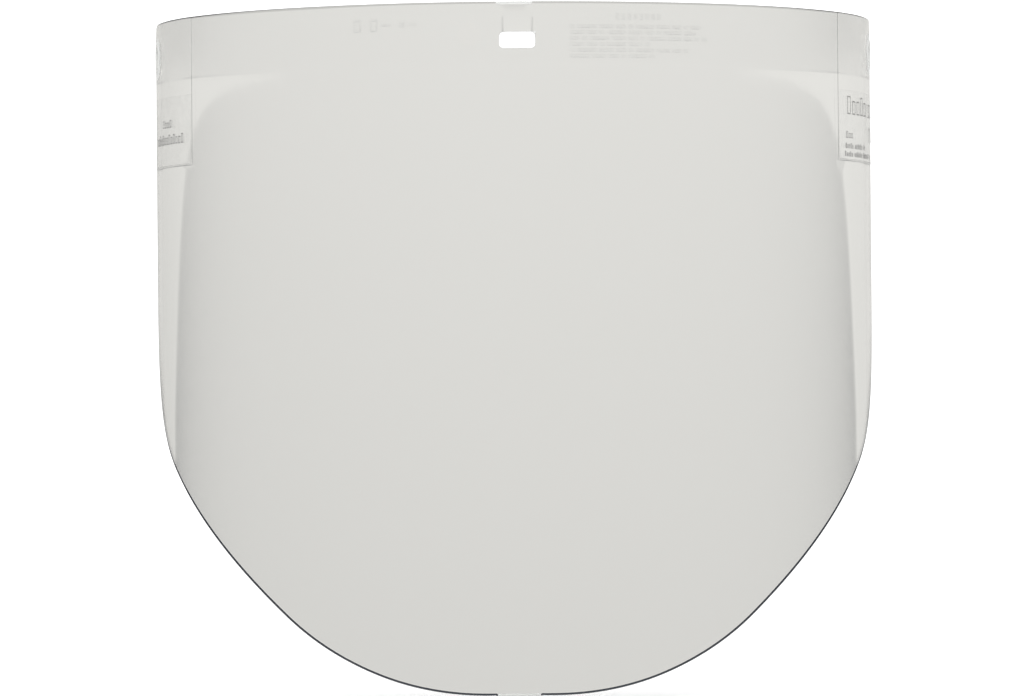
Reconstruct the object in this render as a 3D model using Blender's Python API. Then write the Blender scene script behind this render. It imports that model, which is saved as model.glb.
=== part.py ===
"""Wrap-round face shield window: a clear moulded pane with a thicker top band that hooks to a headgear.

Units are metres, +Z is up and the front of the window faces -Y. The origin is on the flat top edge,
at the front centre, half way through the band's wall. Arc lengths run round the pane's outer face.
"""

import bmesh
import bpy
from math import atan2, cos, pi, radians, sin, sqrt, tan
from mathutils import Matrix, Vector

# The pane: a sheet 9 in high, 14.5 in long and 0.08 in thick, bent to nearly half a cylinder.
WINDOW_HEIGHT = 0.2286
WINDOW_LENGTH = 0.3683
PANE_THICKNESS = 0.00203
OUTER_RADIUS = 0.1245

# The top band is a hair proud of the pane on the outside only, and falls back to it over a short slope.
# Its lower edge rises a little towards each temple.
BAND_HEIGHT = 0.0205
BAND_ARCH = 0.0006
BAND_PROUD = 0.00005
BAND_FALL = 0.0010

# The lower edge: a short flat at the chin, then on each side a tighter and a wider chin arc, a straight
# diagonal, and a corner arc up to the rear edge. The top edge is level, with a small arc down to each rear edge.
CHIN_FLAT_HALF = 0.0116
CHIN_BEND_RADIUS = 0.110
CHIN_BEND_END = radians(20)
CHIN_RADIUS = 0.1440
DIAGONAL_SLOPE = radians(35.9)
CORNER_RADIUS = 0.0770
TOP_CORNER_RADIUS = 0.007

# The latch slot on the centre line, and the lead-in ramp that guides a latch down into it.
SLOT_WIDTH = 0.0120
SLOT_HEIGHT = 0.0054
SLOT_CORNER_RADIUS = 0.0016
SLOT_DEPTH_BELOW_TOP = 0.0127
RAMP_WIDTH = 0.0097
RAMP_START_BELOW_TOP = 0.0048
RAMP_DEPTH = 0.0003

# A shallow round ejector mark beside the slot.
MARK_RADIUS = 0.0043
MARK_SINK = 0.0001
MARK_ARC = -0.0160
MARK_BELOW_TOP = 0.0108

# A hook hole near each rear top corner, with a low round boss about it on the outside.
HOLE_RADIUS = 0.0037
HOLE_ARC = 0.1780
HOLE_BELOW_TOP = 0.0122
BOSS_RADIUS = 0.0062
BOSS_PROUD = 0.0003

# The clear film label on each temple. It sits a hair off the pane, where its adhesive is.
LABEL_LENGTH = 0.0495
LABEL_HEIGHT = 0.0238
LABEL_THICKNESS = 0.0002
LABEL_GAP = 0.0001
LABEL_FRONT_ARC = 0.1348
LABEL_BELOW_TOP = 0.0263

# How finely the bent surfaces are divided. The two counts below are for half of the pane.
DIAGONAL_COLUMNS = 27
CORNER_COLUMNS = 11
LABEL_COLUMNS = 11
ROUND_SEGMENTS = 40
CUTTER_REACH = 0.006

INNER_RADIUS = OUTER_RADIUS - PANE_THICKNESS
BAND_RADIUS = OUTER_RADIUS + BAND_PROUD
BAND_THICKNESS = PANE_THICKNESS + BAND_PROUD
CENTRE_Y = INNER_RADIUS + BAND_THICKNESS / 2
FRONT_Y = CENTRE_Y - BAND_RADIUS
HALF_ARC = WINDOW_LENGTH / 2 * OUTER_RADIUS / (OUTER_RADIUS - PANE_THICKNESS / 2)
CHIN_BEND_END_ARC = CHIN_FLAT_HALF + CHIN_BEND_RADIUS * sin(CHIN_BEND_END)
CHIN_CENTRE_ARC = CHIN_BEND_END_ARC - CHIN_RADIUS * sin(CHIN_BEND_END)
CHIN_CENTRE_HEIGHT = (CHIN_BEND_RADIUS - WINDOW_HEIGHT
                      + (CHIN_RADIUS - CHIN_BEND_RADIUS) * cos(CHIN_BEND_END))
DIAGONAL_START_ARC = CHIN_CENTRE_ARC + CHIN_RADIUS * sin(DIAGONAL_SLOPE)
CORNER_CENTRE_ARC = HALF_ARC - CORNER_RADIUS
CORNER_START_ARC = CORNER_CENTRE_ARC + CORNER_RADIUS * sin(DIAGONAL_SLOPE)
HALF_COLUMNS = DIAGONAL_COLUMNS + CORNER_COLUMNS

CLEAR_SHEET = (0.90, 0.91, 0.89, 1.0)
LABEL_FILM = (0.84, 0.85, 0.82, 1.0)


def clear_scene():
    """Remove the objects that a new file starts with."""
    for thing in list(bpy.data.objects):
        bpy.data.objects.remove(thing, do_unlink=True)


def new_collection(name):
    collection = bpy.data.collections.new(name)
    bpy.context.scene.collection.children.link(collection)
    return collection


def clear_plastic(name, colour, roughness, ior):
    """A see-through plastic, with the refractive index of its own resin."""
    material = bpy.data.materials.new(name)
    material.use_nodes = True
    shader = material.node_tree.nodes["Principled BSDF"]
    shader.inputs["Base Color"].default_value = colour
    shader.inputs["Roughness"].default_value = roughness
    shader.inputs["Metallic"].default_value = 0.0
    shader.inputs["IOR"].default_value = ior
    shader.inputs["Transmission Weight"].default_value = 1.0
    return material


def bent_point(arc, height, radius):
    """The place of a point at an arc length round the outer face, a height and a plan radius."""
    angle = arc / OUTER_RADIUS
    return Vector((radius * sin(angle), CENTRE_Y - radius * cos(angle), height))


def lower_edge(arc):
    """The height of the pane's lower outline at an arc length from the centre line."""
    reach = min(abs(arc), HALF_ARC)
    if reach <= CHIN_FLAT_HALF:
        return -WINDOW_HEIGHT
    if reach <= CHIN_BEND_END_ARC:
        return CHIN_BEND_RADIUS - WINDOW_HEIGHT - sqrt(CHIN_BEND_RADIUS ** 2 - (reach - CHIN_FLAT_HALF) ** 2)
    if reach <= DIAGONAL_START_ARC:
        return CHIN_CENTRE_HEIGHT - sqrt(CHIN_RADIUS ** 2 - (reach - CHIN_CENTRE_ARC) ** 2)

    diagonal_foot = CHIN_CENTRE_HEIGHT - CHIN_RADIUS * cos(DIAGONAL_SLOPE)
    if reach <= CORNER_START_ARC:
        return diagonal_foot + (reach - DIAGONAL_START_ARC) * tan(DIAGONAL_SLOPE)

    centre_height = (diagonal_foot + (CORNER_CENTRE_ARC - DIAGONAL_START_ARC) * tan(DIAGONAL_SLOPE)
                     + CORNER_RADIUS / cos(DIAGONAL_SLOPE))
    return centre_height - sqrt(max(CORNER_RADIUS ** 2 - (reach - CORNER_CENTRE_ARC) ** 2, 0.0))


def upper_edge(arc):
    """The height of the top outline, which is zero except in the small arc at each rear top corner."""
    into_corner = min(abs(arc), HALF_ARC) - (HALF_ARC - TOP_CORNER_RADIUS)
    if into_corner <= 0:
        return 0.0
    return sqrt(max(TOP_CORNER_RADIUS ** 2 - into_corner ** 2, 0.0)) - TOP_CORNER_RADIUS


def column_arc(column):
    """Columns are even as far as the corner arcs, and then sit at even angles round each corner."""
    count = abs(column - HALF_COLUMNS)
    side = 1 if column > HALF_COLUMNS else -1
    if count <= DIAGONAL_COLUMNS:
        return side * CORNER_START_ARC * count / DIAGONAL_COLUMNS
    share = (count - DIAGONAL_COLUMNS) / CORNER_COLUMNS
    angle = DIAGONAL_SLOPE + (pi / 2 - DIAGONAL_SLOPE) * share
    return side * (CORNER_CENTRE_ARC + CORNER_RADIUS * sin(angle))


def bent_wall(mesh_name, columns, rows, place, back_radius):
    """Bend a flat grid by place(column, row), then extrude it radially to back_radius to give it its wall."""
    bm = bmesh.new()
    bmesh.ops.create_grid(bm, x_segments=columns, y_segments=rows, size=1.0)
    for vert in bm.verts:
        column = round((vert.co.x + 1) / 2 * columns)
        row = round((1 - vert.co.y) / 2 * rows)
        vert.co = place(column, row)

    extruded = bmesh.ops.extrude_face_region(bm, geom=bm.faces[:])
    for item in extruded["geom"]:
        if isinstance(item, bmesh.types.BMVert):
            angle = atan2(item.co.x, CENTRE_Y - item.co.y)
            item.co = bent_point(angle * OUTER_RADIUS, item.co.z, back_radius)

    bmesh.ops.recalc_face_normals(bm, faces=bm.faces[:])
    return finished_mesh(bm, mesh_name)


def finished_mesh(bm, name):
    mesh = bpy.data.meshes.new(name)
    bm.to_mesh(mesh)
    bm.free()
    mesh.shade_smooth()
    mesh.set_sharp_from_angle(angle=radians(30))
    return mesh


def place_object(name, mesh, collection, material=None):
    thing = bpy.data.objects.new(name, mesh)
    collection.objects.link(thing)
    if material:
        mesh.materials.append(material)
    return thing


def hide_cutter(cutter):
    cutter.hide_render = True
    cutter.display_type = "WIRE"


def box_cutter(name, size, corner_radius, collection):
    """A box centred on its origin, with the four edges that run front to back rounded."""
    bm = bmesh.new()
    bmesh.ops.create_cube(bm, size=1.0, matrix=Matrix.Diagonal((*size, 1.0)))
    if corner_radius:
        long_edges = [edge for edge in bm.edges
                      if abs((edge.verts[0].co - edge.verts[1].co).normalized().y) > 0.9]
        bmesh.ops.bevel(bm, geom=long_edges, offset=corner_radius, offset_type="OFFSET",
                        segments=6, profile=0.5, affect="EDGES")
    cutter = place_object(name, finished_mesh(bm, name), collection)
    hide_cutter(cutter)
    return cutter


def round_tool(name, radius, arc, height, from_radius, to_radius, collection):
    """A cylinder that points at the plan's centre and spans the two plan radii."""
    bm = bmesh.new()
    bmesh.ops.create_cone(bm, cap_ends=True, segments=ROUND_SEGMENTS, radius1=radius, radius2=radius,
                          depth=to_radius - from_radius)
    tool = place_object(name, finished_mesh(bm, name), collection)
    tool.location = bent_point(arc, height, (from_radius + to_radius) / 2)
    outward = bent_point(arc, 0.0, 1.0) - bent_point(arc, 0.0, 0.0)
    tool.rotation_euler = outward.to_track_quat("Z", "Y").to_euler()
    hide_cutter(tool)
    return tool


def combine(thing, tool, operation):
    boolean = thing.modifiers.new(tool.name, "BOOLEAN")
    boolean.operation = operation
    boolean.solver = "EXACT"
    boolean.object = tool


def slot_cutter(collection):
    cutter = box_cutter("slot_cutter", (SLOT_WIDTH, 2 * CUTTER_REACH, SLOT_HEIGHT), SLOT_CORNER_RADIUS, collection)
    cutter.location = (0.0, 0.0, -SLOT_DEPTH_BELOW_TOP)
    return cutter


def ramp_cutter(collection):
    """A tilted block whose inner face starts at the band's outer face and sinks to RAMP_DEPTH at the slot."""
    ramp_end = SLOT_DEPTH_BELOW_TOP - SLOT_HEIGHT / 2
    tilt = atan2(RAMP_DEPTH, ramp_end - RAMP_START_BELOW_TOP)
    length = (SLOT_DEPTH_BELOW_TOP - RAMP_START_BELOW_TOP) / cos(tilt)
    cutter = box_cutter("ramp_cutter", (RAMP_WIDTH, CUTTER_REACH, length), 0.0, collection)
    start = Vector((0.0, FRONT_Y, -RAMP_START_BELOW_TOP))
    turn = Matrix.Rotation(tilt, 4, "X")
    cutter.matrix_world = Matrix.Translation(start) @ turn @ Matrix.Translation((0.0, -CUTTER_REACH / 2, -length / 2))
    return cutter


def build_window(parts, cutters, material):
    """The pane and its band are one wall, in three strips: the band, its fall, and the pane down to its outline."""
    def place(column, row):
        arc = column_arc(column)
        band_end = BAND_ARCH * (arc / HALF_ARC) ** 2 - BAND_HEIGHT
        levels = ((upper_edge(arc), BAND_RADIUS), (band_end, BAND_RADIUS),
                  (band_end - BAND_FALL, OUTER_RADIUS), (lower_edge(arc), OUTER_RADIUS))
        return bent_point(arc, *levels[row])

    mesh = bent_wall("window", 2 * HALF_COLUMNS, 3, place, INNER_RADIUS)
    window = place_object("window", mesh, parts, material)
    combine(window, slot_cutter(cutters), "DIFFERENCE")
    combine(window, ramp_cutter(cutters), "DIFFERENCE")
    combine(window, round_tool("mark_cutter", MARK_RADIUS, MARK_ARC, -MARK_BELOW_TOP,
                               BAND_RADIUS - MARK_SINK, BAND_RADIUS + CUTTER_REACH, cutters), "DIFFERENCE")
    for side, name in ((-1, "left"), (1, "right")):
        combine(window, round_tool(name + "_boss", BOSS_RADIUS, side * HOLE_ARC, -HOLE_BELOW_TOP,
                                   INNER_RADIUS + PANE_THICKNESS / 2, BAND_RADIUS + BOSS_PROUD, cutters), "UNION")
        combine(window, round_tool(name + "_hole_cutter", HOLE_RADIUS, side * HOLE_ARC, -HOLE_BELOW_TOP,
                                   INNER_RADIUS - CUTTER_REACH, BAND_RADIUS + CUTTER_REACH, cutters), "DIFFERENCE")
    return window


def build_label(name, side, parts, material):
    """A film label that follows the pane's outer face, from its front edge back round the temple."""
    outer_radius = OUTER_RADIUS + LABEL_GAP + LABEL_THICKNESS
    first_arc = LABEL_FRONT_ARC if side > 0 else -LABEL_FRONT_ARC - LABEL_LENGTH

    def place(column, row):
        arc = first_arc + LABEL_LENGTH * column / LABEL_COLUMNS
        return bent_point(arc, -LABEL_BELOW_TOP - LABEL_HEIGHT * row, outer_radius)

    mesh = bent_wall(name, LABEL_COLUMNS, 1, place, OUTER_RADIUS + LABEL_GAP)
    return place_object(name, mesh, parts, material)


def main():
    clear_scene()
    parts = new_collection("face_shield_window")
    cutters = new_collection("cutters")
    polycarbonate = clear_plastic("clear_polycarbonate", CLEAR_SHEET, 0.03, 1.585)
    label_film = clear_plastic("label_film", LABEL_FILM, 0.25, 1.50)
    build_window(parts, cutters, polycarbonate)
    build_label("left_label", -1, parts, label_film)
    build_label("right_label", 1, parts, label_film)


main()
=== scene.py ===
"""The looks of a clear wrap-round face shield window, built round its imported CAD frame.

Places on the window are given in three flat coordinates, as if its sheet were unrolled. Arc is the length
round the pane's outer face from the centre line, height is the world Z, and sink is the depth below that
outer face. bend() rolls them up into the row frame. Lengths are in metres.
"""

from math import ceil, cos, pi, radians, sin, sqrt, tan

import bpy
import numpy as np
from mathutils import Matrix, Vector
from mathutils.geometry import delaunay_2d_cdt


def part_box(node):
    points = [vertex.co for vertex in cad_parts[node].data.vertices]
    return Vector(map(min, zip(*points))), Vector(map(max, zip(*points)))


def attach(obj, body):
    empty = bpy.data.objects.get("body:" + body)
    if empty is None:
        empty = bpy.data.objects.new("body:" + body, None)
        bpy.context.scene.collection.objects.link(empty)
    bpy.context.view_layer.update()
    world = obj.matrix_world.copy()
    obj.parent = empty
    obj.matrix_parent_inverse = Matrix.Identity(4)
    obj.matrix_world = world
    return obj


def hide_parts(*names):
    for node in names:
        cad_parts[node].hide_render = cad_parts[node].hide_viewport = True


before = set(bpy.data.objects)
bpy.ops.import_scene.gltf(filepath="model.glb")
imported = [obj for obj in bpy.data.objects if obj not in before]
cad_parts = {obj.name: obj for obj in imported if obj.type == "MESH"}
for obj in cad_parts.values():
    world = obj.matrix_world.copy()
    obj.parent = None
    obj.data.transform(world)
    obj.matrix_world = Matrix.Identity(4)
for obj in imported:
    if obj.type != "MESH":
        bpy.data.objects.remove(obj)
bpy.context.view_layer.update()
window_low, window_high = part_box("window")

# The sheet and its plan. WINDOW_LENGTH runs round the middle of the sheet, and HALF_ARC round its outer face.
TOP = window_high.z
BOTTOM = window_low.z
OUTER_RADIUS = 0.1245
PANE_THICKNESS = 0.00203
WINDOW_LENGTH = 0.3683
HALF_ARC = WINDOW_LENGTH / 2 * OUTER_RADIUS / (OUTER_RADIUS - PANE_THICKNESS / 2)
BAND_PROUD = 0.000015
PLAN_CENTRE_Y = window_low.y + OUTER_RADIUS + BAND_PROUD

# The outline, from the chin up each side to the top corner.
CHIN_FLAT_HALF = 0.0116
CHIN_BEND_RADIUS = 0.110
CHIN_BEND_END = radians(20)
CHIN_RADIUS = 0.1440
DIAGONAL_SLOPE = radians(35.9)
CORNER_RADIUS = 0.0770
TOP_CORNER_RADIUS = 0.007

# The outline's rim is a full round. Where its outward normal points up by TOP_TURN or more it is the top
# edge, and there it is a little squarer. Within TOP_STRIP of the top, that rounding grows on the left from
# FULL_START on, and is worn smaller on both sides from WORN_START on, each over a length and by a share of
# itself.
RIM_ROUND = 0.00098
TOP_ROUND = 0.00080
TOP_TURN = 0.8
TOP_STRIP = 0.0040
FULL_START = 0.045
FULL_LENGTH = 0.030
FULL_SHARE = 0.26
WORN_START = 0.118
WORN_LENGTH = 0.030
WORN_SHARE_LEFT = 0.50
WORN_SHARE_RIGHT = 0.52

# The moulding gate is cut off at the chin and leaves a rough stub.
# The stub's frosted white also paints the highlight that the chin edge catches at the centre line.
GATE_ARC = -0.0010
GATE_HALF = 0.0070
GATE_PROUD = 0.0003
GATE_SHOULDER = 0.0004

# The band ends in a short fall back to the pane, and its end rises towards the temples.
BAND_END = TOP - 0.0205
BAND_FALL = 0.0010
BAND_ARCH = 0.0006

# The latch slot, the ramp that leads down to it between two ribs, and the notch in the top edge over it. The
# ramp runs on past the slot's top, to RAMP_OVERRUN of its length. The notch is in line with the gate.
SLOT_SIZE = (0.0120, 0.0054)
SLOT_CORNER = 0.0016
SLOT_HEIGHT = TOP - 0.0127
SLOT_TOP = SLOT_HEIGHT + SLOT_SIZE[1] / 2
SLOT_ROUND = 0.00004
RAMP_HALF_WIDTH = 0.00485
RAMP_TOP = TOP - 0.0048
RAMP_DEPTH = 0.00014
RAMP_WALL = 0.00025
RAMP_OVERRUN = 1.2
RIB_ARC = 0.0049
RIB_HALF_WIDTH = 0.00045
RIB_PROUD = 0.00030
RIB_END = 0.0005
# The notch's frosted white also paints the highlight that the top edge catches at the centre line.
NOTCH_ARC = GATE_ARC
NOTCH_HALF = 0.0052
NOTCH_WALL = 0.0012
NOTCH_HEIGHT = 0.0010
NOTCH_DEPTH = 0.00035

# The ejector mark, and the hook holes with their bosses.
MARK_ARC = -0.0160
MARK_HEIGHT = TOP - 0.0108
MARK_RADIUS = 0.0043
MARK_SINK = 0.00002
MARK_WALL = 0.0006
HOLE_ARC = 0.1780
HOLE_HEIGHT = TOP - 0.0122
HOLE_RADIUS = 0.0037
HOLE_ROUND = 0.00020
BOSS_RADIUS = 0.0050
BOSS_WALL = 0.0022
BOSS_PROUD = 0.0003

# The mould's witness ridges round each temple panel, and the clear label inside each panel. The ridges keep
# only RIDGE_FAINT of their height in the left of the band and along the panel's end.
PANEL_ARC = 0.1346
PANEL_END = TOP - 0.0503
RIDGE_HALF_WIDTH = 0.00020
RIDGE_PROUD = 0.000042
RIDGE_FAINT = 0.55
LABEL_TOP = TOP - 0.0263
LABEL_INSET = 0.0003
LABEL_LENGTH = 0.0492
LABEL_CORNER = 0.0008
LABEL_BORDER = 0.0002
LABEL_SINKS = (-0.00026, -0.00012)
PRINT_SINKS = (-0.00029, -0.00026)
THIN_ROUND_SHARE = 1 / 3

# Plain hollow boxes in place of each label's words. Each row is (distance behind the label's front edge,
# depth of its top below the label's, length, height, pitch of its boxes, stroke). A box takes up BOX_SHARE of
# its pitch, its hole is drawn in by STROKE_SHARE of its stroke, and the heights repeat BOX_HEIGHTS. On the
# right, one box in every WORD_LENGTH is left out, at WORD_GAP.
LEFT_PRINT = (
    (0.0178, 0.0079, 0.0130, 0.0027, 0.0030, 0.00045),
    (0.0060, 0.0129, 0.0355, 0.0034, 0.0027, 0.00045))
RIGHT_PRINT = (
    (0.0062, 0.0020, 0.0385, 0.0062, 0.0050, 0.00050),
    (0.0055, 0.0140, 0.0072, 0.0024, 0.0024, 0.00040),
    (0.0050, 0.0180, 0.0235, 0.0019, 0.0016, 0.00040),
    (0.0044, 0.0208, 0.0360, 0.0019, 0.0016, 0.00045),
    (0.0400, 0.0117, 0.0050, 0.0050, 0.0050, 0.00080))
BOX_SHARE = 0.66
BOX_HEIGHTS = (1.0, 0.75, 0.75, 1.0, 0.75)
WORD_LENGTH = 7
WORD_GAP = 5
STROKE_SHARE = 0.9

# Raised bars that stand where a real window carries moulded words. To the right of the slot there is a block
# of rows, each told by how far round it reaches, with a heading over it. The lengths of its bars step through
# BAR_LENGTHS, and no row ends in a bar shorter than LEAST_BAR. To the left of the slot there are two hollow
# squares and a short row. Single bars are (arc, height, length, thickness).
BLOCK_ARC = 0.0173
BLOCK_TOP_ROW = TOP - 0.0083
BLOCK_ROW_STEP = 0.00195
BLOCK_REACHES = (0.0640, 0.0620, 0.0665, 0.0450, 0.0600, 0.0467)
HEADING_START = 0.0336
HEADING_END = 0.0500
HEADING_HEIGHT = TOP - 0.0050
HEADING_BAR = (0.0013, 0.0020)
HEADING_PITCH = 0.0021
SHORT_ROW_HEIGHT = TOP - 0.0072
SHORT_ROW = (
    (-0.0443, SHORT_ROW_HEIGHT, 0.0036, 0.0009),
    (-0.0385, SHORT_ROW_HEIGHT, 0.0020, 0.0018),
    (-0.0347, SHORT_ROW_HEIGHT, 0.0026, 0.0009))
SQUARE_ARCS = (-0.0545, -0.0486)
SQUARE_SIZE = (0.0030, 0.0042)
SQUARE_STROKE = 0.0008
BAR_HEIGHT = 0.0013
BAR_LENGTHS = (0.0018, 0.0066, 0.0050, 0.0034)
BAR_GAP = 0.0008
LEAST_BAR = 0.0015
BAR_WALL = 0.00027
BAR_PROUD = 0.000020

# The window's materials, in their order on the mesh.
# The second material is frosted white, and at the gate and the notch it is also a painted highlight.
CLEAR, ROUGH_AND_HIGHLIGHT, SATIN = range(3)

# How finely the sheet is divided. Loose points keep CLEAR_OF_LINES of a step away from the kept lines.
COLUMN_STEP = 0.0020
ROW_STEP = 0.0030
SLOT_STEP = 0.0008
BAR_STEP = 0.0016
BAND_STOPS = 185
ARC_STEP = radians(5)
CIRCLE_STEPS = 48
ROUND_STEPS = 7
CLEAR_OF_LINES = 0.45
SLOPE_STEP = 0.00001
SAME_POINT = 1e-7
POINTS_AT_ONCE = 400

# The share of an edge's rounding that takes the material of the edge's wall.
WALL_SHARE = 0.9


def bend(points):
    """Rolls an array of (arc, height, sink) up into the row frame."""
    angle = points[:, 0] / OUTER_RADIUS
    radius = OUTER_RADIUS - points[:, 2]
    return np.column_stack((radius * np.sin(angle), PLAN_CENTRE_Y - radius * np.cos(angle), points[:, 1]))


def bend_normals(arcs, normals):
    """Turns flat directions (along the arc, up, outward) into unit directions in the row frame."""
    angle = arcs / OUTER_RADIUS
    along, up, out = normals.T
    across = along * np.cos(angle) + out * np.sin(angle)
    behind = along * np.sin(angle) - out * np.cos(angle)
    turned = np.column_stack((across, behind, up))
    return turned / np.linalg.norm(turned, axis=1)[:, None]


# ---------------------------------------------------------------- outlines in the flat sheet

def rounded_loop(corners, inset, spacing):
    """Points anticlockwise round a convex outline, drawn in by inset(upward part of the outward normal).

    Each corner is (arc, height, radius, angle of its first outward normal, angle of its last).
    """
    points = []
    for arc, height, radius, first, last in corners:
        steps = max(1, ceil((last - first) / ARC_STEP), ceil(radius * (last - first) / spacing))
        for step in range(steps + 1):
            turn = first + (last - first) * step / steps
            reach = radius - inset(sin(turn))
            points.append((arc + reach * cos(turn), height + reach * sin(turn)))
    return fill_gaps(points, spacing)


def between(start, end, share):
    """The flat point at a share of the way from start to end."""
    return start[0] + (end[0] - start[0]) * share, start[1] + (end[1] - start[1]) * share


def fill_gaps(points, spacing):
    """Adds evenly spaced points on each straight of a closed outline."""
    filled = []
    for here, there in zip(points, points[1:] + points[:1]):
        length = sqrt((there[0] - here[0]) ** 2 + (there[1] - here[1]) ** 2)
        if length < SAME_POINT:
            continue
        pieces = max(1, round(length / spacing))
        for piece in range(pieces):
            filled.append(between(here, there, piece / pieces))
    return filled


def rim_round(normal_up):
    """The rim's radius where its outward normal points up by this much."""
    return RIM_ROUND + (TOP_ROUND - RIM_ROUND) * smooth(normal_up / TOP_TURN)


def top_change(arc, height):
    """How much the top edge's rounding differs from TOP_ROUND. Below the top strip this is nothing."""
    full = FULL_SHARE * smooth((-arc - FULL_START) / FULL_LENGTH)
    worn_share = np.where(arc < 0.0, WORN_SHARE_LEFT, WORN_SHARE_RIGHT)
    worn = worn_share * smooth((np.abs(arc) - WORN_START) / WORN_LENGTH)
    on_top = smooth((height - TOP + TOP_STRIP) / (TOP_STRIP / 2))
    return TOP_ROUND * (full - worn) * on_top


def window_loop():
    """The whole outline of the window, drawn in by the radius of its rim."""
    bend_end = CHIN_FLAT_HALF + CHIN_BEND_RADIUS * sin(CHIN_BEND_END)
    chin_arc = bend_end - CHIN_RADIUS * sin(CHIN_BEND_END)
    chin_height = BOTTOM + CHIN_BEND_RADIUS + (CHIN_RADIUS - CHIN_BEND_RADIUS) * cos(CHIN_BEND_END)
    bend_height = BOTTOM + CHIN_BEND_RADIUS
    corner_arc = HALF_ARC - CORNER_RADIUS
    corner_height = (chin_height + (corner_arc - chin_arc) * tan(DIAGONAL_SLOPE)
                     - (CHIN_RADIUS - CORNER_RADIUS) / cos(DIAGONAL_SLOPE))
    top_arc = HALF_ARC - TOP_CORNER_RADIUS
    top_height = TOP - TOP_CORNER_RADIUS

    right, up, left, down = 0.0, pi / 2, pi, 3 * pi / 2
    gate = [(GATE_ARC + side * half, BOTTOM - proud, 0.0, down, down)
            for side, half, proud in ((-1, GATE_HALF + GATE_SHOULDER, 0.0), (-1, GATE_HALF, GATE_PROUD),
                                      (1, GATE_HALF, GATE_PROUD), (1, GATE_HALF + GATE_SHOULDER, 0.0))]
    corners = [
        (top_arc, top_height, TOP_CORNER_RADIUS, right, up),
        (-top_arc, top_height, TOP_CORNER_RADIUS, up, left),
        (-corner_arc, corner_height, CORNER_RADIUS, left, down - DIAGONAL_SLOPE),
        (-chin_arc, chin_height, CHIN_RADIUS, down - DIAGONAL_SLOPE, down - CHIN_BEND_END),
        (-CHIN_FLAT_HALF, bend_height, CHIN_BEND_RADIUS, down - CHIN_BEND_END, down),
        *gate,
        (CHIN_FLAT_HALF, bend_height, CHIN_BEND_RADIUS, down, down + CHIN_BEND_END),
        (chin_arc, chin_height, CHIN_RADIUS, down + CHIN_BEND_END, down + DIAGONAL_SLOPE),
        (corner_arc, corner_height, CORNER_RADIUS, down + DIAGONAL_SLOPE, 2 * pi)]
    loop = rounded_loop(corners, rim_round, COLUMN_STEP)
    return [(arc, height - float(top_change(arc, height))) for arc, height in loop]


def rectangle_loop(arc, height, size, corner, grow, spacing):
    """A rounded rectangle about a centre, grown outwards by grow."""
    across = size[0] / 2 - corner
    up = size[1] / 2 - corner
    corners = [(arc + x * across, height + z * up, corner, first, first + pi / 2)
               for x, z, first in ((1, 1, 0), (-1, 1, pi / 2), (-1, -1, pi), (1, -1, 3 * pi / 2))]
    return rounded_loop(corners, lambda normal_up: -grow, spacing)


def circle_loop(arc, height, radius):
    turns = [2 * pi * step / CIRCLE_STEPS for step in range(CIRCLE_STEPS)]
    return [(arc + radius * cos(turn), height + radius * sin(turn)) for turn in turns]


def inside(points, loop):
    """Which points of an array lie inside a closed outline."""
    x, z = points[:, 0], points[:, 1]
    found = np.zeros(len(points), bool)
    for (x0, z0), (x1, z1) in zip(loop, loop[1:] + loop[:1]):
        if z0 == z1:
            continue
        crosses = (z0 > z) != (z1 > z)
        found ^= crosses & (x < x0 + (z - z0) * (x1 - x0) / (z1 - z0))
    return found


# ---------------------------------------------------------------- relief of the outer face

def smooth(value):
    """Eases from 0 at 0 to 1 at 1."""
    clipped = np.clip(value, 0.0, 1.0)
    return clipped * clipped * (3 - 2 * clipped)


def band_end(arc):
    """The height where the band starts to fall back to the pane. It rises a little towards each temple."""
    return BAND_END + BAND_ARCH * (arc / HALF_ARC) ** 2


def hollow_square(arc):
    """Four bars round a square of the left-hand marks."""
    length, height = SQUARE_SIZE
    bars = []
    for side in (-1, 1):
        bars.append((arc, SHORT_ROW_HEIGHT + side * (height - SQUARE_STROKE) / 2, length, SQUARE_STROKE))
        bars.append((arc + side * (length - SQUARE_STROKE) / 2, SHORT_ROW_HEIGHT, SQUARE_STROKE,
                     height - 2 * SQUARE_STROKE))
    return bars


def bar_rows():
    """The raised bars. Each row of the block is a run of bars of uneven length."""
    bars = list(SHORT_ROW)
    for arc in SQUARE_ARCS:
        bars += hollow_square(arc)
    for arc in np.arange(HEADING_START, HEADING_END, HEADING_PITCH):
        bars.append((arc, HEADING_HEIGHT, *HEADING_BAR))
    word = 0
    for row, reach in enumerate(BLOCK_REACHES):
        arc = BLOCK_ARC
        while arc < reach - LEAST_BAR:
            length = min(BAR_LENGTHS[word % len(BAR_LENGTHS)], reach - arc)
            bars.append((arc + length / 2, BLOCK_TOP_ROW - BLOCK_ROW_STEP * row, length, BAR_HEIGHT))
            arc += length + BAR_GAP
            word += 1
    return bars


BARS = bar_rows()


def slot_relief(arc, height):
    """The ramp down to the slot, the rib on each side of it, and the notch in the top edge over it."""
    down_ramp = np.clip((RAMP_TOP - height) / (RAMP_TOP - SLOT_TOP), 0, RAMP_OVERRUN)
    ramp_side = np.clip((RAMP_HALF_WIDTH - np.abs(arc)) / RAMP_WALL, 0, 1)
    above_slot = height > SLOT_HEIGHT
    sink = RAMP_DEPTH * down_ramp ** 2 * ramp_side * above_slot
    across_rib = smooth(1 - np.abs(np.abs(arc) - RIB_ARC) / RIB_HALF_WIDTH)
    sink -= RIB_PROUD * across_rib * smooth((RAMP_TOP - height) / RIB_END) * above_slot
    across_notch = smooth((NOTCH_HALF - np.abs(arc - NOTCH_ARC)) / NOTCH_WALL)
    return sink + NOTCH_DEPTH * across_notch * np.clip((height - TOP + NOTCH_HEIGHT) / NOTCH_HEIGHT, 0, 1)


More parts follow.
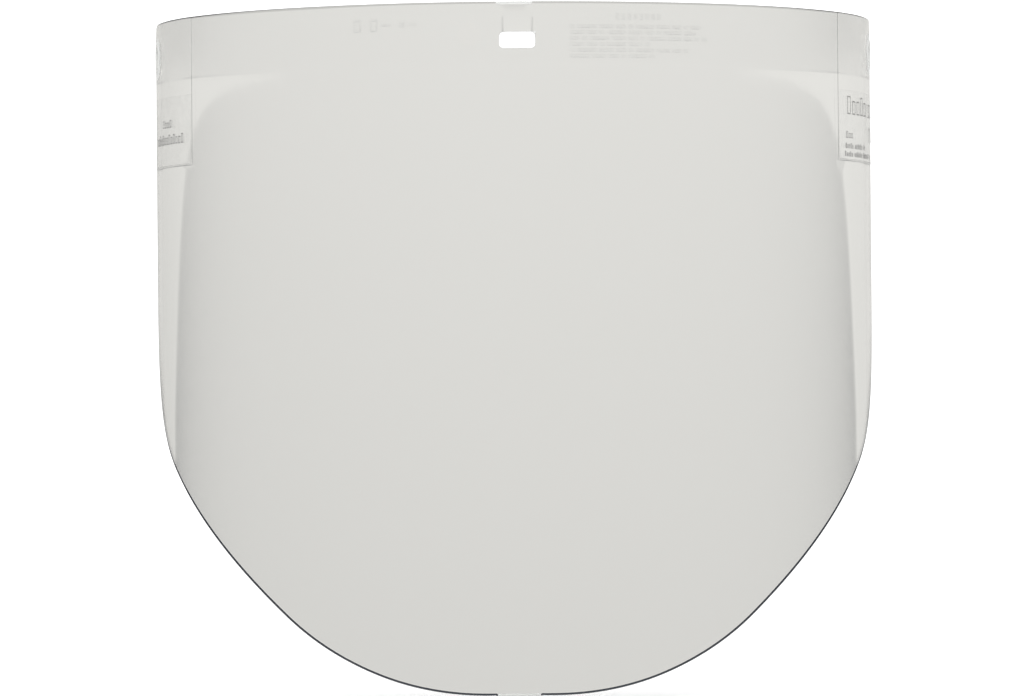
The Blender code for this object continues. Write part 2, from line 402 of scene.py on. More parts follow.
def round_relief(arc, height):
    """The ejector mark and the bosses."""
    from_mark = np.hypot(arc - MARK_ARC, height - MARK_HEIGHT)
    from_hole = np.hypot(np.abs(arc) - HOLE_ARC, height - HOLE_HEIGHT)
    mark = MARK_SINK * smooth((MARK_RADIUS - from_mark) / MARK_WALL)
    return mark - BOSS_PROUD * smooth((BOSS_RADIUS + BOSS_WALL - from_hole) / BOSS_WALL)


def ridge_relief(arc, height):
    """The witness ridges: one upright near each temple, and one from its foot back along the panel's end."""
    beside = np.abs(np.abs(arc) - PANEL_ARC)
    below = np.abs(height - PANEL_END)
    from_corner = np.hypot(beside, below)
    from_upright = np.where(height < PANEL_END, from_corner, beside)
    from_foot = np.where(np.abs(arc) < PANEL_ARC, from_corner, below)
    from_ridge = np.minimum(from_upright, from_foot)
    faint = ((arc < 0) & (height > band_end(arc))) | (height < PANEL_END + RIDGE_HALF_WIDTH)
    strength = np.where(faint, RIDGE_FAINT, 1.0)
    return -RIDGE_PROUD * strength * smooth(1 - from_ridge / RIDGE_HALF_WIDTH)


def bar_relief(arc, height):
    """The raised bars, with a sloping wall round each."""
    sink = np.zeros(len(arc))
    for bar_arc, bar_height, length, thickness in BARS:
        across = length / 2 - np.abs(arc - bar_arc)
        up = thickness / 2 - np.abs(height - bar_height)
        sink -= BAR_PROUD * smooth(np.minimum(across, up) / BAR_WALL)
    return sink


def outer_sink(points):
    """How far the outer face lies below the plain pane at each flat point. Proud features are negative."""
    arc, height = points.T
    sink = -BAND_PROUD * smooth((height - band_end(arc) + BAND_FALL) / BAND_FALL)
    for relief in (slot_relief, round_relief, ridge_relief, bar_relief):
        sink += relief(arc, height)
    return sink


def outer_normals(points):
    """Flat directions (along the arc, up, outward) square to the outer face's relief."""
    slopes = []
    for step in ((SLOPE_STEP, 0.0), (0.0, SLOPE_STEP)):
        slopes.append((outer_sink(points + step) - outer_sink(points - np.array(step))) / (2 * SLOPE_STEP))
    return np.column_stack((*slopes, np.ones(len(points))))


def relief_loops():
    """Closed outlines that the outer face's relief turns on."""
    loops = []
    for radius in (MARK_RADIUS - MARK_WALL, MARK_RADIUS - MARK_WALL / 2, MARK_RADIUS):
        loops.append(circle_loop(MARK_ARC, MARK_HEIGHT, radius))
    for side in (-1, 1):
        for share in (0.0, 0.5, 1.0):
            loops.append(circle_loop(side * HOLE_ARC, HOLE_HEIGHT, BOSS_RADIUS + BOSS_WALL * share))
    for bar_arc, bar_height, length, thickness in BARS:
        for inset in (0.0, BAR_WALL / 2, BAR_WALL):
            half_length = length / 2 - inset
            half_height = thickness / 2 - inset
            corners = [(bar_arc + x * half_length, bar_height + z * half_height)
                       for x, z in ((1, 1), (-1, 1), (-1, -1), (1, -1))]
            loops.append(fill_gaps(corners, BAR_STEP))
    return loops


def relief_lines():
    """Open lines that the relief turns on, as (start, end) pairs."""
    lines = []
    stops = np.linspace(-HALF_ARC, HALF_ARC, BAND_STOPS)
    for share in (0.0, 0.25, 0.5, 0.75, 1.0):
        path = [(arc, band_end(arc) - BAND_FALL * share) for arc in stops]
        lines += list(zip(path, path[1:]))
    for side in (-1, 1):
        for share in (-1, -0.5, 0, 0.5, 1):
            arc = side * (RIB_ARC + RIB_HALF_WIDTH * share)
            lines.append(((arc, RAMP_TOP), (arc, SLOT_TOP)))
        for share in (-1, -0.5, 0, 0.5, 1):
            offset = RIDGE_HALF_WIDTH * share
            arc = side * (PANEL_ARC + offset)
            lines.append(((arc, TOP), (arc, PANEL_END + offset)))
            lines.append(((arc, PANEL_END + offset), (side * HALF_ARC, PANEL_END + offset)))
    for height in (RAMP_TOP, RAMP_TOP - RIB_END):
        lines.append(((-RIB_ARC - RIB_HALF_WIDTH, height), (RIB_ARC + RIB_HALF_WIDTH, height)))
    lines.append(((-2 * NOTCH_HALF, TOP - NOTCH_HEIGHT), (2 * NOTCH_HALF, TOP - NOTCH_HEIGHT)))
    return lines


# ---------------------------------------------------------------- sheets with rounded rims

class Plan:
    """Flat points and the edges that a triangulation has to keep."""

    def __init__(self):
        self.points = []
        self.edges = []

    def add_loop(self, loop):
        first = len(self.points)
        self.points += loop
        self.edges += [(first + k, first + (k + 1) % len(loop)) for k in range(len(loop))]

    def add_line(self, start, end, spacing):
        length = sqrt((end[0] - start[0]) ** 2 + (end[1] - start[1]) ** 2)
        pieces = max(1, round(length / spacing))
        first = len(self.points)
        for piece in range(pieces + 1):
            self.points.append(between(start, end, piece / pieces))
        self.edges += [(first + k, first + k + 1) for k in range(pieces)]

    def add_grid(self, low, high, steps, clear):
        """Fills a rectangle with loose points, leaving out those that come too near a kept line."""
        columns = np.arange(low[0], high[0], steps[0])
        rows = np.arange(low[1], high[1], steps[1])
        grid = np.array([(x, z) for x in columns for z in rows])
        kept = np.array(self.points)
        nearest = np.full(len(grid), np.inf)
        for start in range(0, len(kept), POINTS_AT_ONCE):
            part = kept[start:start + POINTS_AT_ONCE]
            apart = np.abs(grid[:, None, :] - part[None, :, :]) / np.array(steps)
            nearest = np.minimum(nearest, np.hypot(apart[..., 0], apart[..., 1]).min(1))
        self.points += [tuple(point) for point in grid[nearest > clear]]

    def triangulate(self, outlines, holes):
        """The triangles inside the outlines and outside the holes, as flat points and corner numbers."""
        vectors = [Vector(point) for point in self.points]
        found = delaunay_2d_cdt(vectors, self.edges, [], 0, SAME_POINT)
        points = np.array([tuple(vector) for vector in found[0]])
        triangles = np.array([face for face in found[2] if len(face) == 3])
        middles = points[triangles].mean(1)
        wanted = np.zeros(len(triangles), bool)
        for outline in outlines:
            wanted |= inside(middles, outline)
        for hole in holes:
            wanted &= ~inside(middles, hole)
        triangles = triangles[wanted]
        first, second, third = (points[triangles[:, k]] for k in range(3))
        area = np.cross(second - first, third - first)
        triangles = np.where((area > 0)[:, None], triangles, triangles[:, ::-1])
        used, numbers = np.unique(triangles, return_inverse=True)
        return points[used], numbers.reshape(triangles.shape)


def boundary_chains(triangles):
    """The sheet's open edges, chained into closed loops with the material on the left."""
    directed = {}
    for face in triangles:
        for a, b in ((face[0], face[1]), (face[1], face[2]), (face[2], face[0])):
            directed[(int(a), int(b))] = True
    following = {a: b for a, b in directed if (b, a) not in directed}
    chains = []
    while following:
        start, here = following.popitem()
        chain = [start]
        while here != start:
            chain.append(here)
            here = following.pop(here)
        chains.append(chain)
    return chains


def outward_normals(points):
    """Flat normals along a closed chain that has its material on the left, pointing away from it."""
    along = np.roll(points, -1, 0) - points
    along /= np.linalg.norm(along, axis=1)[:, None]
    normals = np.column_stack((along[:, 1], -along[:, 0]))
    both = normals + np.roll(normals, 1, 0)
    return both / np.linalg.norm(both, axis=1)[:, None]


def rim_rings(edge, normals, face_normals, outer, inner, radii):
    """Rings across a rounded rim, from the outer face to the inner one, as flat points and directions."""
    outward = np.column_stack((normals, np.zeros(len(edge))))
    inward = np.array((0.0, 0.0, -1.0))
    turns = [pi / 2 * step / ROUND_STEPS for step in range(ROUND_STEPS + 1)]
    rings = []
    for turn in turns[1:]:
        sink = outer + radii * (1 - cos(turn))
        flat = np.column_stack((edge + normals * (radii * sin(turn))[:, None], sink))
        rings.append((flat, face_normals * cos(turn) + outward * sin(turn)))
    for turn in turns[:-1]:
        sink = inner - radii * (1 - sin(turn))
        flat = np.column_stack((edge + normals * (radii * cos(turn))[:, None], sink))
        rings.append((flat, outward * cos(turn) + inward * sin(turn)))
    return rings


def thick_sheet(name, sheet, outer, inner, face_normals, round_radii, material_of=None):
    """A closed sheet between two sinks for each flat point of sheet, which is (points, triangles).

    round_radii(chain points, chain normals) gives the radii of the rim along a chain, and
    material_of(face middles) gives the number of each face's material.
    """
    points, triangles = sheet
    count = len(points)
    flat = [np.column_stack((points, outer)), np.column_stack((points, inner))]
    directions = [face_normals, np.tile((0.0, 0.0, -1.0), (count, 1))]
    faces = [tuple(face) for face in triangles] + [tuple(face[::-1] + count) for face in triangles]
    total = 2 * count
    for chain in boundary_chains(triangles):
        edge = points[chain]
        normals = outward_normals(edge)
        radii = round_radii(edge, normals)
        across_rim = rim_rings(edge, normals, face_normals[chain], outer[chain], inner[chain], radii)
        rings = [list(chain)]
        for ring, ring_directions in across_rim:
            flat.append(ring)
            directions.append(ring_directions)
            rings.append(list(range(total, total + len(chain))))
            total += len(chain)
        rings.append([k + count for k in chain])
        for upper, lower in zip(rings, rings[1:]):
            for k in range(len(chain)):
                after = (k + 1) % len(chain)
                faces.append((upper[k], lower[k], lower[after], upper[after]))

    flat = np.vstack(flat)
    mesh = bpy.data.meshes.new(name)
    mesh.from_pydata(bend(flat).tolist(), [], [tuple(int(k) for k in face) for face in faces])
    mesh.shade_smooth()
    mesh.normals_split_custom_set_from_vertices(bend_normals(flat[:, 0], np.vstack(directions)).tolist())
    if material_of:
        middles = np.array([flat[list(face)].mean(0) for face in faces])
        mesh.polygons.foreach_set("material_index", material_of(middles).astype(np.int32))
    thing = bpy.data.objects.new(name, mesh)
    bpy.context.scene.collection.objects.link(thing)
    return thing


def window_radii(edge, normals):
    """The rounding along one of the window's edges: its outline, the slot or a hook hole."""
    if np.ptp(edge[:, 0]) > HALF_ARC:
        return rim_round(normals[:, 1]) + top_change(edge[:, 0], edge[:, 1])
    in_slot = abs(edge[0, 0]) < SLOT_SIZE[0]
    return np.full(len(edge), SLOT_ROUND if in_slot else HOLE_ROUND)


def on_bars(arc, height):
    """Which places lie on a raised bar."""
    found = np.zeros(len(arc), bool)
    for bar_arc, bar_height, length, thickness in BARS:
        found |= (np.abs(arc - bar_arc) < length / 2) & (np.abs(height - bar_height) < thickness / 2)
    return found


def window_materials(middles):
    """Rough at the gate, notch, slot, hook holes and boss walls, satin on the bars, and clear elsewhere."""
    arc, height, sink = middles.T
    # At the gate and the notch the rough material's frosted white is also a painted highlight of the chin and
    # top edges.
    gate = (np.abs(arc - GATE_ARC) < GATE_HALF) & (height < BOTTOM + RIM_ROUND)
    notch = (np.abs(arc - NOTCH_ARC) < NOTCH_HALF) & (height > TOP - NOTCH_HEIGHT)
    from_hole = np.hypot(np.abs(arc) - HOLE_ARC, height - HOLE_HEIGHT)
    bore = from_hole < HOLE_RADIUS + WALL_SHARE * HOLE_ROUND
    boss_wall = (from_hole > BOSS_RADIUS) & (from_hole < BOSS_RADIUS + BOSS_WALL) & (sink < 0.0)
    slot_wall = np.abs(height - SLOT_HEIGHT) < SLOT_SIZE[1] / 2 + WALL_SHARE * SLOT_ROUND
    slot_wall &= np.abs(arc) < SLOT_SIZE[0] / 2 + WALL_SHARE * SLOT_ROUND
    rough_and_highlit = gate | notch | bore | boss_wall | slot_wall
    satin = on_bars(arc, height) & (sink < PANE_THICKNESS / 2)
    return np.where(rough_and_highlit, ROUGH_AND_HIGHLIGHT, np.where(satin, SATIN, CLEAR))


def build_window():
    """The moulded window, with its relief on the outer face and a plain inner face."""
    outline = window_loop()
    slot = rectangle_loop(0, SLOT_HEIGHT, SLOT_SIZE, SLOT_CORNER, SLOT_ROUND, SLOT_STEP)
    hook_holes = [circle_loop(side * HOLE_ARC, HOLE_HEIGHT, HOLE_RADIUS + HOLE_ROUND) for side in (-1, 1)]
    plan = Plan()
    for loop in [outline, slot] + hook_holes + relief_loops():
        plan.add_loop(loop)
    for start, end in relief_lines():
        plan.add_line(start, end, COLUMN_STEP)
    plan.add_grid((-HALF_ARC, BOTTOM), (HALF_ARC, TOP), (COLUMN_STEP, ROW_STEP), CLEAR_OF_LINES)
    sheet = plan.triangulate([outline], [slot] + hook_holes)
    points = sheet[0]
    inner = np.full(len(points), PANE_THICKNESS)
    return thick_sheet("clear_window", sheet, outer_sink(points), inner, outer_normals(points), window_radii,
                       window_materials)


def small_sheet(name, outlines, holes, sinks, border=None):
    """A thin piece that follows the pane, here a film label or its print.

    Beyond border, where one is given, it takes its second material.
    """
    plan = Plan()
    for loop in outlines + holes + ([border] if border else []):
        plan.add_loop(loop)
    corners = np.array(plan.points)
    plan.add_grid(corners.min(0), corners.max(0), (COLUMN_STEP, ROW_STEP), CLEAR_OF_LINES)
    sheet = plan.triangulate(outlines, holes)
    count = len(sheet[0])
    outer, inner = (np.full(count, sink) for sink in sinks)
    face_normals = np.tile((0.0, 0.0, 1.0), (count, 1))
    edge_round = (sinks[1] - sinks[0]) * THIN_ROUND_SHARE

    def round_radii(edge, normals):
        return np.full(len(edge), edge_round)

    material_of = (lambda middles: ~inside(middles, border)) if border else None
    return thick_sheet(name, sheet, outer, inner, face_normals, round_radii, material_of)


# ---------------------------------------------------------------- node helpers

class Nodes:
    """Short ways to add and join shader nodes in one tree."""

    def __init__(self, tree):
        self.tree = tree

    def join(self, value, socket):
        """Feeds a socket from another node's output, or sets it to a plain value."""
        if isinstance(value, bpy.types.NodeSocket):
            self.tree.links.new(value, socket)
        else:
            socket.default_value = value

    def add(self, kind, **inputs):
        """A new node, with its inputs named by their sockets."""
        node = self.tree.nodes.new("ShaderNode" + kind)
        for name, value in inputs.items():
            self.join(value, node.inputs[name.replace("_", " ")])
        return node

    def operate(self, kind, operation, values):
        node = self.tree.nodes.new(kind)
        node.operation = operation
        for value, socket in zip(values, node.inputs):
            self.join(value, socket)
        return node.outputs[0]

    def math(self, operation, *values):
        return self.operate("ShaderNodeMath", operation, values)

    def vector_math(self, operation, *values):
        return self.operate("ShaderNodeVectorMath", operation, values)

    def ramp(self, value, from_low, from_high, to_low, to_high, smooth_step=True):
        """Goes from to_low to to_high as value goes from from_low to from_high, and is level beyond."""
        node = self.tree.nodes.new("ShaderNodeMapRange")
        node.interpolation_type = "SMOOTHSTEP" if smooth_step else "LINEAR"
        node.clamp = True
        for value_in, socket in zip((value, from_low, from_high, to_low, to_high), node.inputs):
            self.join(value_in, socket)
        return node.outputs[0]

    def cloudy(self, cloud, low, high, calm=0.3):
        """Spreads a noise's usual range, from calm to 1 - calm, over low to high."""
        return self.ramp(cloud, calm, 1 - calm, low, high)

    def mix(self, share, first, second):
        """A colour between two others. The node's colour sockets are inputs 6 and 7 and output 2."""
        node = self.tree.nodes.new("ShaderNodeMix")
        node.data_type = "RGBA"
        self.join(share, node.inputs["Factor"])
        self.join(first, node.inputs[6])
        self.join(second, node.inputs[7])
        return node.outputs[2]

    def noise(self, place, scale, detail):
        return self.add("TexNoise", Vector=place, Scale=scale, Detail=detail).outputs[0]


# ---------------------------------------------------------------- materials

# The resin, with a slight haze and a faint wave in its polish, and the fine texture of the band's skin, which
# ends part of the way down the band's fall.
RESIN_IOR = 1.585
PANE_HAZE = 0.02
BAND_ROUGHNESS = (0.055, 0.070)
SKIN_END = BAND_END - 0.4 * BAND_FALL
SKIN_FADE = 0.0006
WAVE_STRENGTH = 0.0015
WAVE_HEIGHT = 0.001


def new_material(name):
    """A material, its nodes, its main shader and the place on the object in the row frame's coordinates."""
    material = bpy.data.materials.new(name)
    material.use_nodes = True
    nodes = Nodes(material.node_tree)
    shader = material.node_tree.nodes["Principled BSDF"]
    place = nodes.add("TexCoord").outputs["Object"]
    return material, nodes, shader, place


def make_resin(shader, transmission):
    shader.inputs["IOR"].default_value = RESIN_IOR
    shader.inputs["Transmission Weight"].default_value = transmission


def band_share(nodes, arc, height):
    """One on the band's textured skin and zero below it."""
    rise = nodes.math("MULTIPLY", nodes.math("POWER", arc, 2.0), BAND_ARCH / HALF_ARC ** 2)
    return nodes.ramp(nodes.math("SUBTRACT", height, rise), SKIN_END - SKIN_FADE, SKIN_END, 0.0, 1.0)


def off_mark_share(nodes, arc, height):
    """Zero on the polished floor of the ejector mark and one beyond it."""
    along = nodes.math("SUBTRACT", arc, MARK_ARC)
    up = nodes.math("SUBTRACT", height, MARK_HEIGHT)
    squared = nodes.math("ADD", nodes.math("POWER", along, 2.0), nodes.math("POWER", up, 2.0))
    return nodes.ramp(nodes.math("SQRT", squared), MARK_RADIUS - MARK_WALL, MARK_RADIUS, 0.0, 1.0)


def clear_polycarbonate():
    """Polished clear sheet. The top band's skin is finely textured, so it reflects more softly."""
    material, nodes, shader, place = new_material("clear_polycarbonate")
    across, behind, height = nodes.add("SeparateXYZ", Vector=place).outputs
    angle = nodes.math("ARCTAN2", across, nodes.math("SUBTRACT", PLAN_CENTRE_Y, behind))
    arc = nodes.math("MULTIPLY", angle, OUTER_RADIUS)
    off_mark = off_mark_share(nodes, arc, height)
    textured = nodes.math("MULTIPLY", band_share(nodes, arc, height), off_mark)
    cloud = nodes.noise(place, scale=30.0, detail=2.0)
    roughness = nodes.math("MULTIPLY", textured, nodes.cloudy(cloud, *BAND_ROUGHNESS))
    nodes.join(nodes.math("MAXIMUM", roughness, PANE_HAZE), shader.inputs["Roughness"])
    tint = nodes.mix(cloud, (0.992, 0.996, 0.985, 1), (0.998, 1.0, 0.993, 1))
    nodes.join(nodes.mix(off_mark, (1.0, 1.0, 0.99, 1), tint), shader.inputs["Base Color"])
    wave = nodes.noise(place, scale=40.0, detail=1.0)
    bump = nodes.add("Bump", Strength=WAVE_STRENGTH, Distance=WAVE_HEIGHT, Height=wave)
    nodes.join(bump.outputs["Normal"], shader.inputs["Normal"])
    make_resin(shader, transmission=1.0)
    return material


def satin_polycarbonate():
    """The same resin on the raised bars, whose flat tops are finely etched."""
    material, nodes, shader, place = new_material("satin_polycarbonate")
    grain = nodes.noise(place, scale=1800.0, detail=2.0)
    nodes.join(nodes.cloudy(grain, 0.17, 0.27), shader.inputs["Roughness"])
    shader.inputs["Base Color"].default_value = (0.98, 0.985, 0.975, 1)
    make_resin(shader, transmission=1.0)
    return material


def rough_and_highlight_polycarbonate():
    """The same resin where a cut or a worn bore leaves it frosted white. At the gate and the notch that white
    is also a painted highlight, the one the chin and top edges catch at the centre line.
    """
    material, nodes, shader, place = new_material("rough_and_highlight_polycarbonate")
    grain = nodes.noise(place, scale=1500.0, detail=3.0)
    # Frosted grey-white, which at the gate and the notch also stands for a painted highlight.
    nodes.join(nodes.mix(grain, (0.80, 0.81, 0.79, 1), (0.90, 0.91, 0.89, 1)), shader.inputs["Base Color"])
    nodes.join(nodes.cloudy(grain, 0.45, 0.60), shader.inputs["Roughness"])
    make_resin(shader, transmission=0.4)
    return material


def label_film(name, grey, milk):
    """A clear film whose adhesive leaves it very slightly milky. Milk is how much of the view it hides."""
    material, nodes, shader, place = new_material(name)
    cloud = nodes.noise(place, scale=220.0, detail=3.0)
    shader.inputs["Base Color"].default_value = (grey, grey, 0.97 * grey, 1)
    nodes.join(nodes.cloudy(cloud, 0.22, 0.34), shader.inputs["Roughness"])
    nodes.join(nodes.cloudy(cloud, 0.6 * milk, 1.4 * milk), shader.inputs["Alpha"])
    return material


def label_edge():
    """The film's border, drawn dark grey and darker towards the bottom."""
    material, nodes, shader, place = new_material("label_edge")
    cloud = nodes.noise(place, scale=180.0, detail=2.0)
    height = nodes.add("SeparateXYZ", Vector=place).outputs["Z"]
    shader.inputs["Base Color"].default_value = (0.16, 0.16, 0.16, 1)
    nodes.join(nodes.cloudy(cloud, 0.5, 0.7), shader.inputs["Roughness"])
    # The border is drawn darker towards the bottom of the label.
    darker_low = nodes.ramp(height, PANEL_END, LABEL_TOP, 0.13, 0.03)
    border_darkness = nodes.math("MULTIPLY", darker_low, nodes.cloudy(cloud, 0.7, 1.2, calm=0.35))
    nodes.join(border_darkness, shader.inputs["Alpha"])
    return material


def label_ink():
    """Thin grey-black print, a little uneven where the ink runs out."""
    material, nodes, shader, place = new_material("label_ink")
    cloud = nodes.noise(place, scale=900.0, detail=4.0)
    nodes.join(nodes.mix(cloud, (0.03, 0.03, 0.035, 1), (0.08, 0.08, 0.085, 1)), shader.inputs["Base Color"])
    nodes.join(nodes.cloudy(cloud, 0.4, 0.6), shader.inputs["Roughness"])
    nodes.join(nodes.cloudy(cloud, 0.24, 0.44, calm=0.25), shader.inputs["Alpha"])
    return material


# ---------------------------------------------------------------- the object

def finish_piece(piece, materials, slot, *nodes):
    """Gives a piece its materials and its body, and hides the CAD parts that it stands for. Its slot is not
    used.
    """
    for material in materials:
        piece.data.materials.append(material)
    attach(piece, "root")
    if nodes:
        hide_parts(*nodes)


def label_loop(side, inset=0.0):
    """The outline of the label on one side, drawn in by inset."""
    front = PANEL_ARC + LABEL_INSET
    size = (LABEL_LENGTH, LABEL_TOP - PANEL_END - LABEL_INSET)
    middle = (LABEL_TOP + PANEL_END + LABEL_INSET) / 2
    return rectangle_loop(side * (front + size[0] / 2), middle, size, LABEL_CORNER, -inset, COLUMN_STEP)


def print_boxes(side, rows):
    """The outlines and the holes of each row's boxes."""
    outlines, holes = [], []
    for behind, depth, length, height, pitch, stroke in rows:
        for box in range(round(length / pitch)):
            if side > 0 and box % WORD_LENGTH == WORD_GAP:
                continue
            arc = side * (PANEL_ARC + LABEL_INSET + behind + (box + 0.5) * pitch)
            size = (BOX_SHARE * pitch, height * BOX_HEIGHTS[box % len(BOX_HEIGHTS)])
            middle = LABEL_TOP - depth - height + size[1] / 2
            outlines.append(rectangle_loop(arc, middle, size, stroke, 0, COLUMN_STEP))
            holes.append(rectangle_loop(arc, middle, size, stroke, -STROKE_SHARE * stroke, COLUMN_STEP))
    return outlines, holes


def build_label(name, side, rows, film, edge, ink):
    """One label's film and the print on it."""
    border = label_loop(side, LABEL_BORDER)
    label = small_sheet(name + "_film", [label_loop(side)], [], LABEL_SINKS, border)
    finish_piece(label, [film, edge], "label_film", name)
    outlines, holes = print_boxes(side, rows)
    label_print = small_sheet(name + "_print", outlines, holes, PRINT_SINKS)
    finish_piece(label_print, [ink], "label_film")


def build_object():
    resins = [clear_polycarbonate(), rough_and_highlight_polycarbonate(), satin_polycarbonate()]
    finish_piece(build_window(), resins, "clear_polycarbonate", "window")
    left_film = label_film("left_label_film", grey=0.45, milk=0.034)
    right_film = label_film("right_label_film", grey=0.62, milk=0.050)
    edge = label_edge()
    ink = label_ink()
    build_label("left_label", -1, LEFT_PRINT, left_film, edge, ink)
    build_label("right_label", 1, RIGHT_PRINT, right_film, edge, ink)


# ---------------------------------------------------------------- studio

# The camera looks almost level at the window through a long lens, from in front and a touch to its left.
PIVOT = Vector((0.0, window_low.y + 0.120, 0.0))
CAMERA_DISTANCE = 2.158
CAMERA_YAW = radians(0.702)
EYE_HEIGHT = TOP - 0.1367
LENS = 217.75
SENSOR_WIDTH = 36.0
AIM_PITCH = radians(0.632)
AIM_YAW = radians(0.030)
ROLL = radians(0.476)


def build_camera():
    """A camera on a circle about PIVOT at eye height, turned from there by the aim angles and the roll."""
    data = bpy.data.cameras.new("camera")
    data.lens = LENS
    data.sensor_width = SENSOR_WIDTH
    camera = bpy.data.objects.new("camera", data)
    bpy.context.scene.collection.objects.link(camera)
    place = Vector((-CAMERA_DISTANCE * sin(CAMERA_YAW), -CAMERA_DISTANCE * cos(CAMERA_YAW), 0.0)) + PIVOT
    place.z = EYE_HEIGHT
    turn = (Matrix.Rotation(-CAMERA_YAW + AIM_YAW, 4, "Z") @ Matrix.Rotation(pi / 2 + AIM_PITCH, 4, "X")
            @ Matrix.Rotation(-ROLL, 4, "Z"))
    camera.matrix_world = Matrix.Translation(place) @ turn
    data.clip_start = 0.05
    data.clip_end = 50.0
    bpy.context.scene.camera = camera


# The backdrop that the clear sheet shows and reflects, in degrees. Bearing is round from straight ahead to
# the right, swing is the same to either side, and rise is up from eye level. Below eye level the backdrop is
# a pale sweep with upright sides, and further down a pale floor spreads all round. Above, its sides curl
# outwards into a thin ledge, and over that it narrows to soft shoulders. The room round it is dark.
BACKDROP_TINT = (1.026, 1.015, 0.981, 1)
ROOM_TINT = (0.90, 1.0, 1.25, 1)
ROOM_LEVEL = 0.045
BACKDROP_SWING = 38.0
BACKDROP_SPREAD = 2.2
EDGE_SOFTNESS = 1.2
CURL = 9.4
CURL_RISE = 3.29
LEAST_CURL_GAP = 0.02
LEDGE_RISE = 3.22
LEDGE_BLUR = 0.1
LEDGE_SWING = 110.0
SHOULDER_SWING = 40.0
SHOULDER_SOFTNESS = 20.0
BACKDROP_RISE = 7.5
FLOOR_RISE = -6.0
RISE_BLUR = 1.0
ALL_ROUND = 180.0

# The backdrop's level, and how it changes: (the angle it turns on, from, to, share at the first, share at the
# second).
LEVEL = 0.826
LEVEL_CHANGES = (
    ("rise", -4.0, 5.0, 0.835, 1.0),
    ("rise", -9.0, -5.0, 0.88, 1.0),
    ("swing", 4.0, 40.0, 1.0, 0.84),
    ("bearing", -40.0, -4.0, 0.86, 1.0),
    ("bearing", 46.0, 62.0, 1.0, 0.93),
    ("bearing", -2.8, 0.2, 0.98, 1.0))
WHITE_STRENGTH = 1.4

# The floor under the chin.
FLOOR_HALF = 6.0
FLOOR_GAP = 0.0015


def studio_direction(nodes):
    """The looked-at direction as (across, ahead, up) in a level frame that turns with the camera."""
    look = nodes.add("TexCoord").outputs["Generated"]
    seen = nodes.add("VectorTransform", Vector=look)
    seen.vector_type = "VECTOR"
    seen.convert_from = "WORLD"
    seen.convert_to = "CAMERA"
    # Shader nodes' camera space has +Z ahead, where a camera object has it behind.
    direction = nodes.vector_math("MULTIPLY", seen.outputs[0], (1.0, 1.0, -1.0))
    for axis, angle in (("Z_AXIS", -ROLL), ("X_AXIS", pi / 2 + AIM_PITCH)):
        turned = nodes.add("VectorRotate", Vector=direction, Angle=angle)
        turned.rotation_type = axis
        direction = turned.outputs[0]
    return nodes.add("SeparateXYZ", Vector=direction).outputs


def backdrop_edge(nodes, rise, over_ledge):
    """The swing at which the backdrop ends, at each rise."""
    above = nodes.math("MAXIMUM", rise, 0.0)
    curl_gap = nodes.math("MAXIMUM", nodes.math("SUBTRACT", CURL_RISE, above), LEAST_CURL_GAP)
    curl = nodes.math("SUBTRACT", nodes.math("DIVIDE", CURL, curl_gap), CURL / CURL_RISE)
    edge = nodes.math("ADD", nodes.math("MULTIPLY_ADD", above, BACKDROP_SPREAD, BACKDROP_SWING), curl)
    edge = nodes.math("MINIMUM", edge, LEDGE_SWING)
    floor = nodes.ramp(rise, FLOOR_RISE - RISE_BLUR, FLOOR_RISE + RISE_BLUR, ALL_ROUND, 0.0)
    edge = nodes.math("MAXIMUM", edge, floor)
    return nodes.math("ADD", edge, nodes.math("MULTIPLY", over_ledge, SHOULDER_SWING - LEDGE_SWING))


def backdrop_share(nodes, swing, rise):
    """One on the backdrop and zero in the dark room round it."""
    over_ledge = nodes.ramp(rise, LEDGE_RISE - LEDGE_BLUR, LEDGE_RISE + LEDGE_BLUR, 0.0, 1.0)
    softness = nodes.math("MULTIPLY_ADD", over_ledge, SHOULDER_SOFTNESS, EDGE_SOFTNESS)
    past_edge = nodes.math("SUBTRACT", swing, backdrop_edge(nodes, rise, over_ledge))
    within = nodes.ramp(nodes.math("DIVIDE", past_edge, softness), -1.0, 1.0, 1.0, 0.0)
    under_top = nodes.ramp(rise, BACKDROP_RISE - RISE_BLUR, BACKDROP_RISE + RISE_BLUR, 1.0, 0.0)
    return nodes.math("MULTIPLY", within, under_top)


def backdrop_level(nodes, angles):
    """How bright the backdrop is in each direction."""
    level = LEVEL
    for turns_on, *change in LEVEL_CHANGES:
        share = nodes.ramp(angles[turns_on], *change, smooth_step=turns_on != "rise")
        level = nodes.math("MULTIPLY", level, share)
    return level


def blend(nodes, share, first, second):
    """A mix of two shader nodes."""
    mixed = nodes.add("MixShader", Fac=share)
    nodes.join(first.outputs[0], mixed.inputs[1])
    nodes.join(second.outputs[0], mixed.inputs[2])
    return mixed


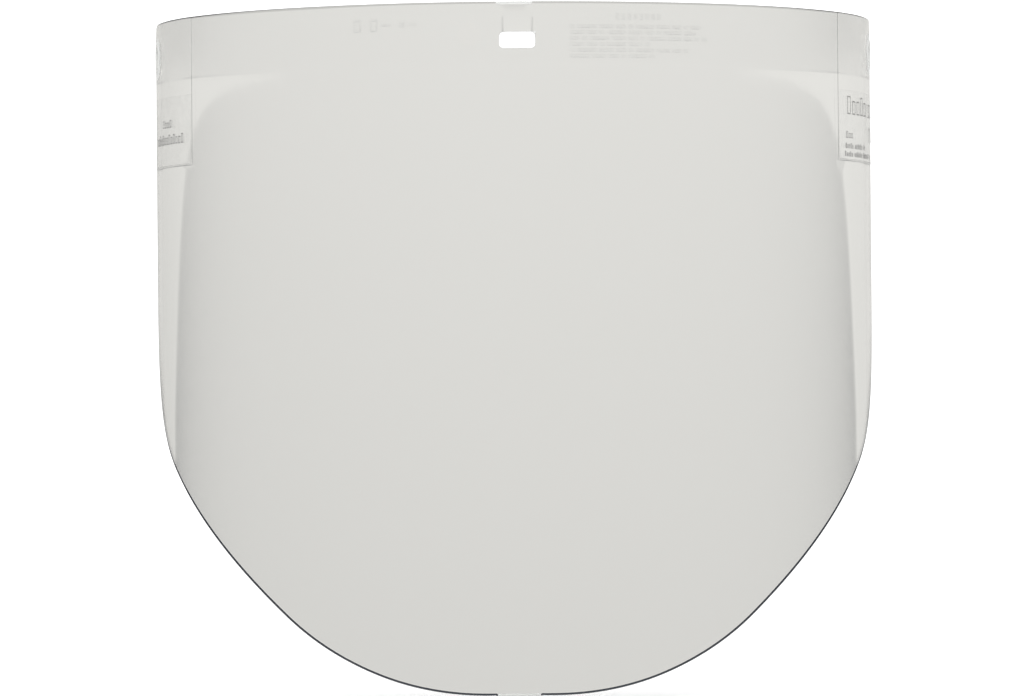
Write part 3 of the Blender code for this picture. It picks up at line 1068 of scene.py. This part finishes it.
def build_world():
    """White to the camera and to matt surfaces, and the studio to what the clear sheet shows and reflects."""
    world = bpy.data.worlds.new("studio")
    bpy.context.scene.world = world
    world.use_nodes = True
    world.cycles.sampling_method = "NONE"
    world.node_tree.nodes.clear()
    nodes = Nodes(world.node_tree)

    across, ahead, up = studio_direction(nodes)
    bearing = nodes.math("DEGREES", nodes.math("ARCTAN2", across, ahead))
    swing = nodes.math("ABSOLUTE", bearing)
    rise = nodes.math("DEGREES", nodes.math("ARCSINE", up))
    level = backdrop_level(nodes, {"bearing": bearing, "swing": swing, "rise": rise})
    backdrop = nodes.add("Emission", Color=BACKDROP_TINT, Strength=level)
    room = nodes.add("Emission", Color=ROOM_TINT, Strength=ROOM_LEVEL)
    studio = blend(nodes, backdrop_share(nodes, swing, rise), room, backdrop)

    white = nodes.add("Emission", Color=(1, 1, 1, 1), Strength=WHITE_STRENGTH)
    path = nodes.add("LightPath").outputs
    after_matt = nodes.math("GREATER_THAN", path["Diffuse Depth"], 0.5)
    matt = nodes.math("MAXIMUM", path["Is Diffuse Ray"], after_matt)
    plain = nodes.math("MAXIMUM", path["Is Camera Ray"], matt)
    seen = blend(nodes, plain, studio, white)
    nodes.add("OutputWorld", Surface=seen.outputs[0])


def build_floor():
    """A plain pale floor just under the chin. The clear sheet doesn't show or reflect it."""
    mesh = bpy.data.meshes.new("floor")
    height = BOTTOM - FLOOR_GAP
    corners = [(x * FLOOR_HALF, y * FLOOR_HALF, height) for x, y in ((-1, -1), (1, -1), (1, 1), (-1, 1))]
    mesh.from_pydata(corners, [], [(0, 1, 2, 3)])
    floor = bpy.data.objects.new("floor", mesh)
    bpy.context.scene.collection.objects.link(floor)
    material, nodes, shader, place = new_material("pale_floor")
    shader.inputs["Base Color"].default_value = (0.92, 0.92, 0.92, 1)
    shader.inputs["Roughness"].default_value = 0.9
    shader.inputs["Specular IOR Level"].default_value = 0.0
    mesh.materials.append(material)
    floor.visible_transmission = False
    floor.visible_glossy = False


def set_up_picture():
    """Plain colours, and enough bounces for light to pass through the sheet's front and back."""
    scene = bpy.context.scene
    scene.view_settings.view_transform = "Standard"
    scene.view_settings.look = "None"
    scene.cycles.max_bounces = 16
    scene.cycles.transmission_bounces = 16
    scene.cycles.glossy_bounces = 8
    scene.cycles.transparent_max_bounces = 16


build_object()
build_camera()
build_world()
build_floor()
set_up_picture()
